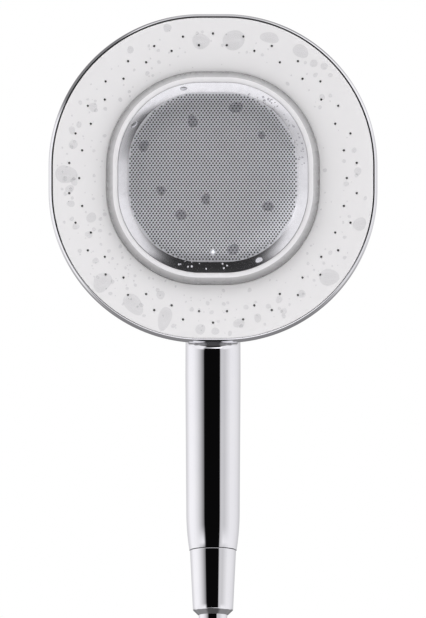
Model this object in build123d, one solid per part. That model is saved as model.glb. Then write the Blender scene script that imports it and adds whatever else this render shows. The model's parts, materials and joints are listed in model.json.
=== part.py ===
from build123d import *
import os
from math import cos, sin, tan, radians, hypot, sqrt

# A hand shower with a wireless speaker docked in the middle of its spray face.
#
# Row frame: origin in the middle of the inlet thread, +Z up along the handle,
# +X to the right of someone facing the spray face, +Y away from them.
# Head frame: origin in the middle of the spray face, y is depth behind the
# face's outer edge, z is up along the face. HEAD places the one in the other.
#
# Every outline of the head is the same rounded square: a square core grown
# outwards. An outline's size is its half width, from the centre to a side.

# ---- driving dimensions, millimetres and degrees ----
CORE = 6.2             # half of the short straight stretch on each side
HEAD_HALF = 85.0       # chrome shell
FACE_HALF = 82.6       # white spray face
BEZEL_HALF = 54.35     # outside of the speaker's bezel
GRILLE_HALF = 48.6     # outside of the speaker's grille
PUCK_HALF = 52.7       # outside of the speaker's rear housing
DOCK_HALF = 53.2       # inside of the dock
CHAMBER_HALF = (57.8, 80.2)   # inner and outer sides of the water chamber

DOME_START = 6.0       # depth where the shell turns into its dome
DOME_RISE = 40.0
SHELL_WALL = 2.4
FACE_WALL = 2.25
FACE_SLOPE_DEPTH = 2.65       # how much deeper the face lies beside the speaker
FACE_HOLE_HALF = 54.85        # opening in the face for the speaker

NOZZLE_RINGS = ((68.9, 6.0), (74.4, 0.0))   # radius, first angle from the top
NOZZLES_PER_RING = 30
NOZZLE_BORE = 0.25
NOZZLE_RADIUS = 0.52
NOZZLE_HOLE = 0.58

TILT = 16.0            # lean of the head against the handle
HANDLE_SETBACK = 20.9  # depth of the handle's axis behind the face
HEAD_TO_BEND = 88.8    # from the face's centre down to the bend in the handle
BEND_HEIGHT = 150.9    # height of the bend above the origin
BEND_RADIUS = 100.0
HANDLE_RADIUS = 14.45
HANDLE_BORE = 12.1
HANDLE_LOW_RADIUS = 13.7      # where the handle starts to round in
HANDLE_LOW_HEIGHT = 65.6
HANDLE_END_RADIUS = 12.05
HANDLE_END_HEIGHT = 45.3

CONE_TOP_RADIUS = 11.75
CONE_LOW_RADIUS = 10.15
CONE_LOW_HEIGHT = 14.9
CONE_END_HEIGHT = 12.6

NECK_RADIUS = 7.2
NECK_CLEARANCE = 0.08
THREAD_RADIUS = 20.955 / 2    # G1/2 major radius
THREAD_LENGTH = 11.0
COLLAR_HEIGHT = 3.0
INLET_BORE = 4.6

WATER_TUBE = (6.5, 5.0)       # outer and inner radius
CHAMBER_FLOOR = (12.0, 14.0)  # front and back of the water plate's floor
DOCK_FLOOR = (25.2, 27.0)
PUCK_BACK = 24.0
PUCK_WALL = 2.0
BAFFLE = (-1.0, 1.2)

SCREW_POST = 34.5      # the puck's screw posts, across and up
MAGNET_AT = (24.0, 32.0)
BUTTON_HEIGHT = -36.0
BUTTON_SPACING = 13.0
STATUS_LIGHT_DROP = 38.2

PERFORATED_HALF = 43.35       # where the grille's holes end
GRILLE_CROWN = -7.4
GRILLE_BAND = -5.8
GRILLE_EDGE = -3.5
GRILLE_BAND_BULGE = 0.12      # how far the border band stands out from flat
GRILLE_WALL = 0.8
BEZEL_INNER_HALF = 48.7
BEZEL_FACET_HALF = 50.9

COLLAR_RADIUS = 10.75
JOIN_FILLET = 3.0
INLET_DROP = 69.0             # the chamber's inlet below the face's centre
ELBOW_HEIGHTS = (75.6, 63.3)  # bottom and top of the elbow below the face's centre
BUTTON_RADIUS = 3.9

os.makedirs("parts", exist_ok=True)


# ---- helpers ----

def half_width(x, z):
    """Size of the rounded square that passes through a point of the face."""
    return CORE + hypot(max(abs(x) - CORE, 0), max(abs(z) - CORE, 0))


def outline_point(half, corner):
    """Middle of a side (corner False) or of a rounded corner of one outline."""
    if not corner:
        return (half, 0.0)
    reach = CORE + (half - CORE) * sqrt(0.5)
    return (reach, reach)


def four_ways(x, z):
    """The same point in each quarter of the face."""
    return [(x, z), (-z, x), (-x, -z), (z, -x)]


def outline(*points):
    """A closed section from its corners."""
    return make_face(Polyline(*points, close=True))


def squared(section):
    """Carry a section, drawn as half width and depth, round a rounded square."""
    placed = Plane(origin=(0, 0, CORE), x_dir=(1, 0, 0), z_dir=(0, 0, 1)) * section
    corner = revolve(placed, Axis((CORE, 0, CORE), (0, -1, 0)), 90)
    side = extrude(placed, amount=2 * CORE, dir=(0, 0, -1))
    quarter = corner + side
    ring = quarter
    for turn in (90, 180, 270):
        ring = ring + Rot(0, turn, 0) * quarter
    return ring


def squared_block(section, front, back):
    """The same for a section that reaches the core, which it fills too."""
    middle = (front + back) / 2
    return squared(section) + Pos(0, middle, 0) * Box(2 * CORE, back - front, 2 * CORE)


def rod(x, z, radius, front, back):
    """A round bar along the head's depth."""
    bar = Rot(90, 0, 0) * Cylinder(radius, back - front)
    return Pos(x, (front + back) / 2, z) * bar


def rods(points, radius, front, back):
    return [rod(x, z, radius, front, back) for x, z in points]


def turned(*points):
    """A section of radius and depth, turned about the head's own axis."""
    return revolve(outline(*points), Axis.Y)


def spun(*points):
    """A section of radius and height, turned about the handle's axis."""
    return revolve(Plane.XZ * outline(*points), Axis.Z)


def ring_of_wire(radius, wire, height):
    """A round seal about the handle's axis."""
    return Pos(0, 0, height) * Torus(radius, wire)


# ---- where the head sits on the handle ----

HEAD_Y = -(HANDLE_SETBACK * cos(radians(TILT)) + HEAD_TO_BEND * sin(radians(TILT)))
HEAD_Z = (BEND_HEIGHT - HANDLE_SETBACK * sin(radians(TILT))
          + HEAD_TO_BEND * cos(radians(TILT)))
HEAD = Location((0, HEAD_Y, HEAD_Z), (TILT, 0, 0))

BEND_RUN = BEND_RADIUS * tan(radians(TILT / 2))
BEND_BOTTOM = BEND_HEIGHT - BEND_RUN


def handle_path(end_drop):
    """The handle's axis from the bend's foot to a height in the head frame."""
    foot = Vector(0, 0, BEND_BOTTOM)
    up = Vector(0, -sin(radians(TILT)), cos(radians(TILT)))
    bend = Vector(0, 0, BEND_HEIGHT)
    shoulder = bend + up * BEND_RUN
    end = bend + up * (HEAD_TO_BEND + end_drop)
    return Wire([TangentArc(foot, shoulder, tangent=(0, 0, 1)).edge(),
                 Edge.make_line(shoulder, end)]), end


def handle_bar(radius, end_drop):
    path, end = handle_path(end_drop)
    return sweep(Plane(origin=(0, 0, BEND_BOTTOM)) * Circle(radius), path=path), end


# ---- handset: shell, handle and end cone ----

def dome_section(half, rise, front_edges):
    """Front edges, then an elliptical dome back to the core."""
    dome = EllipticalCenterArc((CORE, DOME_START), half - CORE, rise, start_angle=0, arc_size=90)
    return make_face(front_edges + [dome])


def shell_outside():
    lip = (83.15, 0.2)
    widest = (HEAD_HALF, DOME_START - 1)
    front = [Line((CORE, DOME_START + DOME_RISE), (CORE, lip[1])),
             Line((CORE, lip[1]), lip),
             TangentArc(widest, lip, tangent=(0, -1)),
             Line(widest, (HEAD_HALF, DOME_START))]
    section = dome_section(HEAD_HALF, DOME_RISE, front)
    head = squared_block(section, lip[1], DOME_START + DOME_RISE)
    bar, end = handle_bar(HANDLE_RADIUS, -46.0)
    low_edge = [Line((0, BEND_BOTTOM), (0, HANDLE_END_HEIGHT)),
                Line((0, HANDLE_END_HEIGHT), (HANDLE_END_RADIUS, HANDLE_END_HEIGHT)),
                TangentArc((HANDLE_LOW_RADIUS, HANDLE_LOW_HEIGHT),
                           (HANDLE_END_RADIUS, HANDLE_END_HEIGHT), tangent=(0, -1)),
                Line((HANDLE_LOW_RADIUS, HANDLE_LOW_HEIGHT), (HANDLE_RADIUS, BEND_BOTTOM)),
                Line((HANDLE_RADIUS, BEND_BOTTOM), (0, BEND_BOTTOM))]
    grip = revolve(Plane.XZ * make_face(low_edge), Axis.Z)
    return HEAD * head, bar + Pos(end) * Sphere(HANDLE_RADIUS) + grip


def shell_inside():
    half = HEAD_HALF - SHELL_WALL
    rise = DOME_RISE - SHELL_WALL
    pocket = FACE_HALF + 0.15
    front = [Line((CORE, DOME_START + rise), (CORE, -2)),
             Line((CORE, -2), (pocket, -2)),
             Line((pocket, -2), (pocket, DOME_START)),
             Line((pocket, DOME_START), (half, DOME_START))]
    section = dome_section(half, rise, front)
    cavity = squared_block(section, -2, DOME_START + rise)
    bore, _ = handle_bar(HANDLE_BORE, -60.0)
    spigot_room = HANDLE_END_HEIGHT + 14.0
    low = spun((0, HANDLE_END_HEIGHT - 1), (10.2, HANDLE_END_HEIGHT - 1), (10.2, spigot_room),
               (HANDLE_BORE, spigot_room + 2), (HANDLE_BORE, BEND_BOTTOM), (0, BEND_BOTTOM))
    return HEAD * cavity, bore + low


def make_shell():
    """Chromed shell and handle in one moulding, with a soft corner where they meet."""
    head, handle = shell_outside()
    body = head + handle
    body = body.fillet(JOIN_FILLET, new_edges(head, handle, combined=body))
    cavity, bore = shell_inside()
    return body - cavity - bore


def make_end_cone():
    spigot_top = HANDLE_END_HEIGHT + 12.7
    clip_room = (32.6, 42.0)
    neck_bore = NECK_RADIUS + NECK_CLEARANCE
    tube_outside, tube_inside = WATER_TUBE
    tube_bore = tube_outside + 0.1
    return spun((neck_bore, CONE_END_HEIGHT), (neck_bore + 0.3, CONE_END_HEIGHT),
                (CONE_LOW_RADIUS - 0.15, CONE_LOW_HEIGHT - 0.1),
                (CONE_LOW_RADIUS, CONE_LOW_HEIGHT + 0.15),
                (CONE_TOP_RADIUS, HANDLE_END_HEIGHT - 0.6),
                (CONE_TOP_RADIUS - 0.3, HANDLE_END_HEIGHT - 0.25),
                (10.1, HANDLE_END_HEIGHT - 0.25), (10.1, spigot_top), (tube_bore, spigot_top),
                (tube_bore, 46.0), (tube_inside, 46.0), (tube_inside, clip_room[1]),
                (8.9, clip_room[1]), (8.9, clip_room[0]), (neck_bore, clip_room[0]))


# ---- handset: water parts ----

def nozzle_places():
    """Across, up and half width of every nozzle."""
    places = []
    for radius, first in NOZZLE_RINGS:
        for step in range(NOZZLES_PER_RING):
            angle = radians(first + 360 / NOZZLES_PER_RING * step)
            x, z = radius * sin(angle), radius * cos(angle)
            places.append((x, z, half_width(x, z)))
    return places


def face_depth(half):
    """Depth of the spray face's front surface at one outline."""
    outer_edge = FACE_HALF - 0.25
    return FACE_SLOPE_DEPTH * (outer_edge - half) / (outer_edge - FACE_HOLE_HALF - 0.25)


def make_spray_face():
    """A shallow white dish round the speaker, with a hole for every nozzle."""
    outer_edge = FACE_HALF - 0.25
    inner_edge = FACE_HOLE_HALF + 0.25
    skirt_wall = FACE_HALF - 2.2
    sleeve_wall = FACE_HOLE_HALF + 1.95
    section = outline((outer_edge, 0), (FACE_HALF, 0.25), (FACE_HALF, 5.4), (skirt_wall, 5.4),
                      (skirt_wall, face_depth(skirt_wall) + FACE_WALL),
                      (sleeve_wall, face_depth(sleeve_wall) + FACE_WALL), (sleeve_wall, 9.0),
                      (FACE_HOLE_HALF, 9.0), (FACE_HOLE_HALF, FACE_SLOPE_DEPTH + 0.25),
                      (inner_edge, FACE_SLOPE_DEPTH))
    holes = [rod(x, z, NOZZLE_HOLE, -2, 7) for x, z, _ in nozzle_places()]
    return squared(section) - holes


def make_nozzle_mat():
    """A silicone ring behind the face, with a tube for every nozzle."""
    front, back = 4.35, 5.85
    ring = turned((65.6, front), (77.6, front), (77.6, back), (65.6, back))
    tubes = [rod(x, z, NOZZLE_RADIUS, face_depth(half) - 0.3, back - 0.2)
             for x, z, half in nozzle_places()]
    bores = [rod(x, z, NOZZLE_BORE, -3, back + 1) for x, z, _ in nozzle_places()]
    return ring + tubes - bores


def make_water_plate():
    """The back of the water chamber, open to the nozzles."""
    inner, outer = CHAMBER_HALF
    floor, back = CHAMBER_FLOOR
    section = outline((inner, 6.3), (inner + 4, 6.3), (inner + 4, floor), (outer - 1.8, floor),
                      (outer - 1.8, 7.3), (outer, 7.3), (outer, back), (inner, back))
    inlet = rod(0, -INLET_DROP, 4.0, floor - 1, back + 1)
    pilots = rods(head_screw_places(), 1.0, 8.4, back + 1)
    return squared(section) - [inlet] - pilots


def make_face_seal():
    outer = CHAMBER_HALF[1]
    front = face_depth(outer - 1.8) + FACE_WALL + 0.05
    return squared(outline((outer - 1.7, front), (outer - 0.1, front),
                           (outer - 0.1, 7.25), (outer - 1.7, 7.25)))


def make_inner_seal():
    inner = CHAMBER_HALF[0]
    front = face_depth(inner + 0.2) + FACE_WALL + 0.05
    return squared(outline((inner + 0.2, front), (inner + 2.4, front),
                           (inner + 2.4, 6.25), (inner + 0.2, 6.25)))


def head_screw_places():
    half = CHAMBER_HALF[0] + 2.0
    side = outline_point(half, False)
    corner = outline_point(half, True)
    return four_ways(*side) + four_ways(*corner)


def make_dock_cup():
    """The pocket that the speaker slides into, with a flange onto the water plate."""
    floor, back = DOCK_FLOOR
    outside = DOCK_HALF + 1.6
    flange = 63.0
    seat = CHAMBER_FLOOR[1] + 0.05
    section = outline((CORE, floor), (DOCK_HALF, floor), (DOCK_HALF, 5.2), (outside, 5.2),
                      (outside, seat), (flange, seat), (flange, seat + 1.7),
                      (outside, seat + 1.7), (outside, back), (CORE, back))
    cup = squared_block(section, floor, back)
    return cup - rods(head_screw_places(), 1.3, seat - 1, seat + 3)


def make_head_screws():
    seat = CHAMBER_FLOOR[1] + 1.75
    screws = []
    for x, z in head_screw_places():
        screw = rod(x, z, 0.98, 8.6, seat) + rod(x, z, 2.1, seat, seat + 1.5)
        screws.append(screw - cross_recess(x, z, seat + 1.5, 1.0, 2.6))
    return screws


def cross_recess(x, z, face, depth, length):
    """A cross-shaped driver recess sunk forward from a screw head's back face."""
    bar = Box(length, depth, 0.6) + Box(0.6, depth, length)
    return Pos(x, face - depth / 2, z) * bar


def make_dock_magnets():
    return rods(magnet_places(), 5.0, DOCK_FLOOR[1] + 0.05, DOCK_FLOOR[1] + 2.05)


def make_magnet_cover():
    """A thin plate that holds the magnets against the back of the dock."""
    front = DOCK_FLOOR[1] + 0.05
    half_x, half_z = MAGNET_AT[0] + 8, MAGNET_AT[1] + 8
    plate = Pos(0, front + 1.75, 0) * Box(2 * half_x, 3.5, 2 * half_z)
    window = Pos(0, front + 1.75, 0) * Box(2 * half_x - 30, 5, 2 * half_z - 34)
    return plate - [window] - rods(magnet_places(), 5.05, front - 1, front + 2.05)


def magnet_places():
    across, up = MAGNET_AT
    return [(sx * across, sz * up) for sx in (-1, 1) for sz in (-1, 1)]


def make_water_tube():
    outside, inside = WATER_TUBE
    bottom = 46.1
    groove = outside - 0.8
    outer, _ = handle_bar(outside, -ELBOW_HEIGHTS[0] - 0.05)
    inner, _ = handle_bar(inside, -ELBOW_HEIGHTS[0] - 0.05)
    sleeve = spun((inside, bottom), (outside, bottom), (outside, 49.0), (groove, 49.0),
                  (groove, 50.0), (outside, 50.0), (outside, 52.5), (groove, 52.5),
                  (groove, 53.5), (outside, 53.5), (outside, BEND_BOTTOM), (inside, BEND_BOTTOM))
    return (outer - inner) + sleeve


def make_tube_seals():
    return [ring_of_wire(WATER_TUBE[0] - 0.4, 0.38, height) for height in (49.5, 53.0)]


def make_elbow():
    """Turns the water forward from the handle into the chamber."""
    low, high = ELBOW_HEIGHTS
    radius = HANDLE_SETBACK - CHAMBER_FLOOR[1] - 0.1
    middle = -(low + high) / 2
    body = Pos(0, HANDLE_SETBACK, middle) * Cylinder(radius, low - high)
    body += rod(0, -INLET_DROP, 5.2, CHAMBER_FLOOR[1] + 0.05, HANDLE_SETBACK)
    hollow = Pos(0, HANDLE_SETBACK, middle - 1.0) * Cylinder(WATER_TUBE[1], low - high - 2)
    return body - hollow - rod(0, -INLET_DROP, 4.0, CHAMBER_FLOOR[1] - 1, HANDLE_SETBACK)


# ---- swivel inlet ----

def make_nipple():
    """Swivel inlet: journal, neck, collar with two flats, and the threaded end."""
    thread_low = -THREAD_LENGTH / 2
    thread_high = THREAD_LENGTH / 2
    collar_top = thread_high + COLLAR_HEIGHT
    groove = NECK_RADIUS - 1.4
    nipple = spun((INLET_BORE, thread_low + 3), (8.3, thread_low + 3), (8.3, thread_low),
                  (THREAD_RADIUS, thread_low),
                  (THREAD_RADIUS, thread_high), (COLLAR_RADIUS, thread_high),
                  (COLLAR_RADIUS, collar_top - 0.4), (COLLAR_RADIUS - 0.4, collar_top),
                  (NECK_RADIUS, collar_top), (NECK_RADIUS, 19.6), (groove, 19.6),
                  (groove, 21.4), (NECK_RADIUS, 21.4), (NECK_RADIUS, 26.6), (groove, 26.6),
                  (groove, 28.4), (NECK_RADIUS, 28.4), (NECK_RADIUS, 33.2), (6.3, 33.2),
                  (6.3, 34.4), (NECK_RADIUS, 34.4), (NECK_RADIUS, 36.5), (INLET_BORE, 36.5))
    flat = Box(10, 40, COLLAR_HEIGHT + 0.1)
    across = COLLAR_RADIUS - 0.65
    middle = thread_high + COLLAR_HEIGHT / 2 + 0.05
    return nipple - [Pos(side * (across + 5), 0, middle) * flat for side in (-1, 1)]


def make_swivel_seals():
    return [ring_of_wire(NECK_RADIUS - 0.72, 0.67, height) for height in (20.5, 27.5)]


def make_retaining_clip():
    ring = spun((6.35, 33.3), (8.4, 33.3), (8.4, 34.3), (6.35, 34.3))
    return ring - Pos(0, 8, 33.8) * Box(9, 8, 2)


def make_inlet_screen():
    low = -THREAD_LENGTH / 2 + 0.6
    disc = Pos(0, 0, low + 1.2) * Cylinder(8.2, 2.4)
    pitch = 2.3
    holes = []
    for row in range(-3, 4):
        for column in range(-3, 4):
            x, y = pitch * (column + row % 2 / 2), pitch * row * 0.87
            if hypot(x, y) < 6.5:
                holes.append(Pos(x, y, low + 1.2) * Cylinder(0.8, 4))
    return disc - holes


def make_flow_regulator():
    low = 2.0
    body = Pos(0, 0, low + 2.0) * Cylinder(INLET_BORE - 0.05, 4.0)
    return body - [Pos(2.2 * cos(turn), 2.2 * sin(turn), low + 2) * Cylinder(0.7, 6)
                   for turn in (radians(60 * step) for step in range(6))]


# ---- speaker: what shows ----

def grille_depth(half):
    """Depth of the grille's front surface at one outline."""
    drop = ((half - CORE) / (PERFORATED_HALF - CORE)) ** 2
    return GRILLE_CROWN + drop * (GRILLE_BAND - GRILLE_CROWN)


def grille_line(back_off, reach):
    """The grille's crown, then its steeper border band, moved back from the front."""
    crown = (CORE, GRILLE_CROWN + back_off)
    band = (PERFORATED_HALF, GRILLE_BAND + back_off)
    edge = (reach, GRILLE_EDGE + back_off)
    middle = ((PERFORATED_HALF + reach) / 2, (band[1] + edge[1]) / 2 - GRILLE_BAND_BULGE)
    main = TangentArc(crown, band, tangent=(1, 0))
    return [main, ThreePointArc(band, middle, edge)], crown, edge


def make_grille():
    """Domed metal grille with a rolled border and a short skirt."""
    front, crown, edge = grille_line(0, GRILLE_HALF)
    rear, rear_crown, rear_edge = grille_line(GRILLE_WALL, GRILLE_HALF - 0.6)
    foot = BAFFLE[0] - 0.05
    section = make_face(front + rear + [Line(crown, rear_crown), Line(edge, (GRILLE_HALF, foot)),
                        Line((GRILLE_HALF, foot), (GRILLE_HALF - 0.6, foot)),
                        Line((GRILLE_HALF - 0.6, foot), rear_edge)])
    plate = squared_block(section, GRILLE_CROWN, GRILLE_CROWN + GRILLE_WALL)
    return plate - rod(0, -STATUS_LIGHT_DROP, 0.95, -10, 0)


def make_acoustic_mesh():
    """A fine cloth stretched behind the holes of the grille."""
    back_off = GRILLE_WALL + 0.1
    wall = 0.25
    reach = PERFORATED_HALF + 1.0
    front, crown, _ = grille_line(back_off, GRILLE_HALF)
    rear, rear_crown, _ = grille_line(back_off + wall, GRILLE_HALF)
    crown_arcs = [front[0], rear[0]]
    ends = [Line(crown, rear_crown), Line(front[0] @ 1, rear[0] @ 1)]
    sheet = squared_block(make_face(crown_arcs + ends), crown[1], rear_crown[1])
    return sheet - rod(0, -STATUS_LIGHT_DROP, 0.95, -10, 0)


def make_bezel():
    """Ring round the grille: a narrow bright land and a rounded shoulder."""
    land = (BEZEL_FACET_HALF, -3.55)
    foot = (BEZEL_HALF, 2.4)
    shoulder = ThreePointArc(land, (BEZEL_HALF - 0.95, -1.6), foot)
    rest = Polyline(foot, (BEZEL_HALF, 4.4), (50.6, 4.4), (50.6, -1.2),
                    (BEZEL_INNER_HALF, -1.2), (BEZEL_INNER_HALF, -3.1), land)
    return squared(make_face([shoulder] + rest.edges()))


def make_status_light():
    return rod(0, -STATUS_LIGHT_DROP, 0.75, grille_depth(STATUS_LIGHT_DROP) - 0.1, 3.0)


# ---- speaker: housing ----

def make_baffle():
    front, back = BAFFLE
    section = outline((CORE, front), (50.3, front), (50.3, back), (CORE, back))
    plate = squared_block(section, front, back)
    holes = rods(driver_screw_places(), 0.7, front - 1, back + 1)
    return plate - [rod(0, 0, 27.0, -5, 5), rod(0, -STATUS_LIGHT_DROP, 1.0, -5, 5)] - holes - \
        rods(post_places(), 1.2, front + 0.8, back + 1)


def post_places():
    return [(sx * SCREW_POST, sz * SCREW_POST) for sx in (-1, 1) for sz in (-1, 1)]


def button_places():
    return [(column * BUTTON_SPACING, BUTTON_HEIGHT) for column in (-1, 0, 1)]


def make_rear_housing():
    floor, back = PUCK_BACK - PUCK_WALL, PUCK_BACK
    inside = PUCK_HALF - PUCK_WALL
    edge = 2.5
    front = [Line((inside, floor), (inside, 5.1)), Line((inside, 5.1), (PUCK_HALF, 5.1)),
             Line((PUCK_HALF, 5.1), (PUCK_HALF, back - edge)),
             TangentArc((PUCK_HALF, back - edge), (PUCK_HALF - edge, back), tangent=(0, 1)),
             Line((PUCK_HALF - edge, back), (CORE, back)), Line((CORE, back), (CORE, floor)),
             Line((CORE, floor), (inside, floor))]
    cup = squared_block(make_face(front), floor, back)
    cup += rods(post_places(), 3.2, BAFFLE[1] + 0.05, floor + 0.5)
    cup -= rods(post_places(), 1.35, BAFFLE[1] - 1, back + 1)
    cup -= rods(post_places(), 2.7, back - 1.6, back + 1)
    cup -= rods(button_places(), BUTTON_RADIUS + 0.35, floor - 1, back + 1)
    return cup - rods(contact_places(), 1.25, floor - 1, back + 1)


def contact_places():
    return [(column * 5.0, 38.0) for column in (-1.5, -0.5, 0.5, 1.5)]


def make_housing_seal():
    return squared(outline((PUCK_HALF - 1.9, 4.45), (PUCK_HALF - 0.1, 4.45),
                           (PUCK_HALF - 0.1, 5.05), (PUCK_HALF - 1.9, 5.05)))


def make_housing_screws():
    seat = PUCK_BACK - 1.6
    screws = []
    for x, z in post_places():
        screw = rod(x, z, 1.15, 0.0, seat) + rod(x, z, 2.5, seat, seat + 1.4)
        screws.append(screw - cross_recess(x, z, seat + 1.4, 0.9, 3.0))
    return screws


def make_charge_contacts():
    floor = PUCK_BACK - PUCK_WALL
    return [rod(x, z, 1.2, floor - 0.8, PUCK_BACK + 0.1) for x, z in contact_places()]


def make_puck_magnets():
    floor = PUCK_BACK - PUCK_WALL
    return rods(magnet_places(), 5.0, floor - 2.05, floor - 0.05)


# ---- speaker: driver, about the head's own axis ----

def make_driver_frame():
    """Pressed basket: flange, tapered wall with windows, and a rear ring."""
    basket = turned((31.0, -2.6), (31.0, -1.1), (26.8, -1.1), (26.8, 2.0), (20.0, 12.5),
                    (10.5, 12.5), (10.5, 11.3), (19.2, 11.3), (25.6, 1.6), (25.6, -1.4),
                    (27.4, -1.4), (27.4, -2.6))
    windows = [Rot(0, 60 * step + 30, 0) * Pos(0, 6.4, 21) * Box(12, 6.0, 14)
               for step in range(6)]
    return basket - windows - rods(driver_screw_places(), 0.8, -4, 2)


def driver_screw_places():
    reach = 29.2 * sqrt(0.5)
    return four_ways(reach, reach)


def make_driver_screws():
    return [rod(x, z, 0.65, -2.6, 1.0) + rod(x, z, 1.5, -3.5, -2.6)
            for x, z in driver_screw_places()]


def make_surround():
    """Rubber half roll between the basket and the cone."""
    roll, wall = 2.4, 0.4
    middle, seat = 24.0, -2.15
    outer = ThreePointArc((middle - roll, seat), (middle, seat - roll), (middle + roll, seat))
    inner_roll = roll - wall
    inner = ThreePointArc((middle - inner_roll, seat), (middle, seat - inner_roll),
                          (middle + inner_roll, seat))
    land = Polyline((middle + roll, seat), (27.3, seat), (27.3, seat + wall),
                    (middle + inner_roll, seat + wall), (middle + inner_roll, seat))
    lip = Polyline((middle - roll, seat), (20.2, seat), (20.2, seat + wall),
                   (middle - inner_roll, seat + wall), (middle - inner_roll, seat))
    return revolve(make_face([outer, inner] + land.edges() + lip.edges()), Axis.Y)


def make_cone():
    return turned((21.6, -1.7), (21.0, -1.2), (9.0, 4.4), (8.2, 4.4), (8.2, 3.7), (20.2, -1.7))


def make_dust_cap():
    cap = Pos(0, 12.2, 0) * (Sphere(13.2) - Sphere(12.8))
    return cap & rod(0, 0, 7.9, -3, 2.6)


def make_voice_coil():
    return turned((8.2, 4.5), (8.65, 4.5), (8.65, 15.5), (8.2, 15.5))


def make_top_plate():
    return turned((9.1, 12.6), (17.5, 12.6), (17.5, 13.9), (9.1, 13.9))


def make_driver_magnet():
    return turned((10.8, 13.95), (19.5, 13.95), (19.5, 17.4), (10.8, 17.4))


def make_pole_piece():
    return turned((0, 12.6), (7.7, 12.6), (7.7, 17.45), (18.0, 17.45), (18.0, 19.2), (0, 19.2))


# ---- speaker: electronics ----

def make_battery():
    """A flat soft pack beside the driver."""
    pack = Pos(-36.0, 13.0, 0) * Box(17, 9, 44)
    return fillet(pack.edges().filter_by(Axis.Z), 2.5)


def make_circuit_board():
    board = Pos(0, 17.7, -36.5) * Box(52, 1.4, 17)
    return board - rods(button_places(), 0.4, 16, 19)


def make_board_chips():
    low, high = 15.2, 16.95
    sizes = [(-17, -38, 7, 7), (-5, -35, 5, 8), (6, -39, 6, 4), (17, -36, 9, 6)]
    return [Pos(x, (low + high) / 2, z) * Box(width, high - low, height)
            for x, z, width, height in sizes]


def make_tact_switches():
    bodies = []
    for x, z in button_places():
        body = Pos(x, 19.05, z) * Box(5.2, 1.2, 5.2)
        bodies.append(body + rod(x, z, 1.2, 19.65, 20.1))
    return bodies


def make_light_board():
    return Pos(0, 3.6, -STATUS_LIGHT_DROP) * Box(12, 1.0, 7)


def make_button(place):
    """A round key with a flange that keeps it behind the housing's floor."""
    floor = PUCK_BACK - PUCK_WALL
    x, z = place
    key = rod(x, z, BUTTON_RADIUS, floor - 0.8, PUCK_BACK + 0.4)
    key = fillet(key.faces().sort_by(Axis.Y)[-1].edges(), 0.35)
    return key + rod(x, z, BUTTON_RADIUS + 0.8, floor - 0.9, floor - 0.35)


# ---- every sub-part, in the row frame ----

IN_HEAD = {
    "spray_face": make_spray_face,
    "nozzle_mat": make_nozzle_mat,
    "water_plate": make_water_plate,
    "face_seal": make_face_seal,
    "inner_seal": make_inner_seal,
    "dock_cup": make_dock_cup,
    "dock_magnets": make_dock_magnets,
    "magnet_cover": make_magnet_cover,
    "head_screws": make_head_screws,
    "water_elbow": make_elbow,
    "speaker_grille": make_grille,
    "acoustic_mesh": make_acoustic_mesh,
    "bezel_ring": make_bezel,
    "status_light": make_status_light,
    "front_baffle": make_baffle,
    "rear_housing": make_rear_housing,
    "housing_seal": make_housing_seal,
    "housing_screws": make_housing_screws,
    "charge_contacts": make_charge_contacts,
    "puck_magnets": make_puck_magnets,
    "driver_frame": make_driver_frame,
    "driver_screws": make_driver_screws,
    "cone_surround": make_surround,
    "driver_cone": make_cone,
    "dust_cap": make_dust_cap,
    "voice_coil": make_voice_coil,
    "top_plate": make_top_plate,
    "driver_magnet": make_driver_magnet,
    "pole_piece": make_pole_piece,
    "battery_pack": make_battery,
    "circuit_board": make_circuit_board,
    "board_chips": make_board_chips,
    "tact_switches": make_tact_switches,
    "light_board": make_light_board,
}

ON_HANDLE = {
    "shell_and_handle": make_shell,
    "end_cone": make_end_cone,
    "water_tube": make_water_tube,
    "tube_seals": make_tube_seals,
    "swivel_nipple": make_nipple,
    "swivel_seals": make_swivel_seals,
    "retaining_clip": make_retaining_clip,
    "inlet_screen": make_inlet_screen,
    "flow_regulator": make_flow_regulator,
}

BUTTON_NAMES = ("volume_down_button", "power_button", "volume_up_button")


def write(name, made, place=None):
    solids = made if isinstance(made, list) else [made]
    if place:
        solids = [place * solid for solid in solids]
    whole = solids[0] if len(solids) == 1 else Compound(children=solids)
    export_step(whole, f"parts/{name}.step")


for name, make in IN_HEAD.items():
    write(name, make(), HEAD)
for name, make in ON_HANDLE.items():
    write(name, make())
for name, place in zip(BUTTON_NAMES, button_places()):
    write(name, make_button(place), HEAD)
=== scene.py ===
import json
import random
from math import atan, atan2, cos, hypot, pi, radians, sin, tan

import bmesh
import bpy
import numpy as np
from mathutils import Matrix, Vector
from mathutils.geometry import delaunay_2d_cdt


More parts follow.
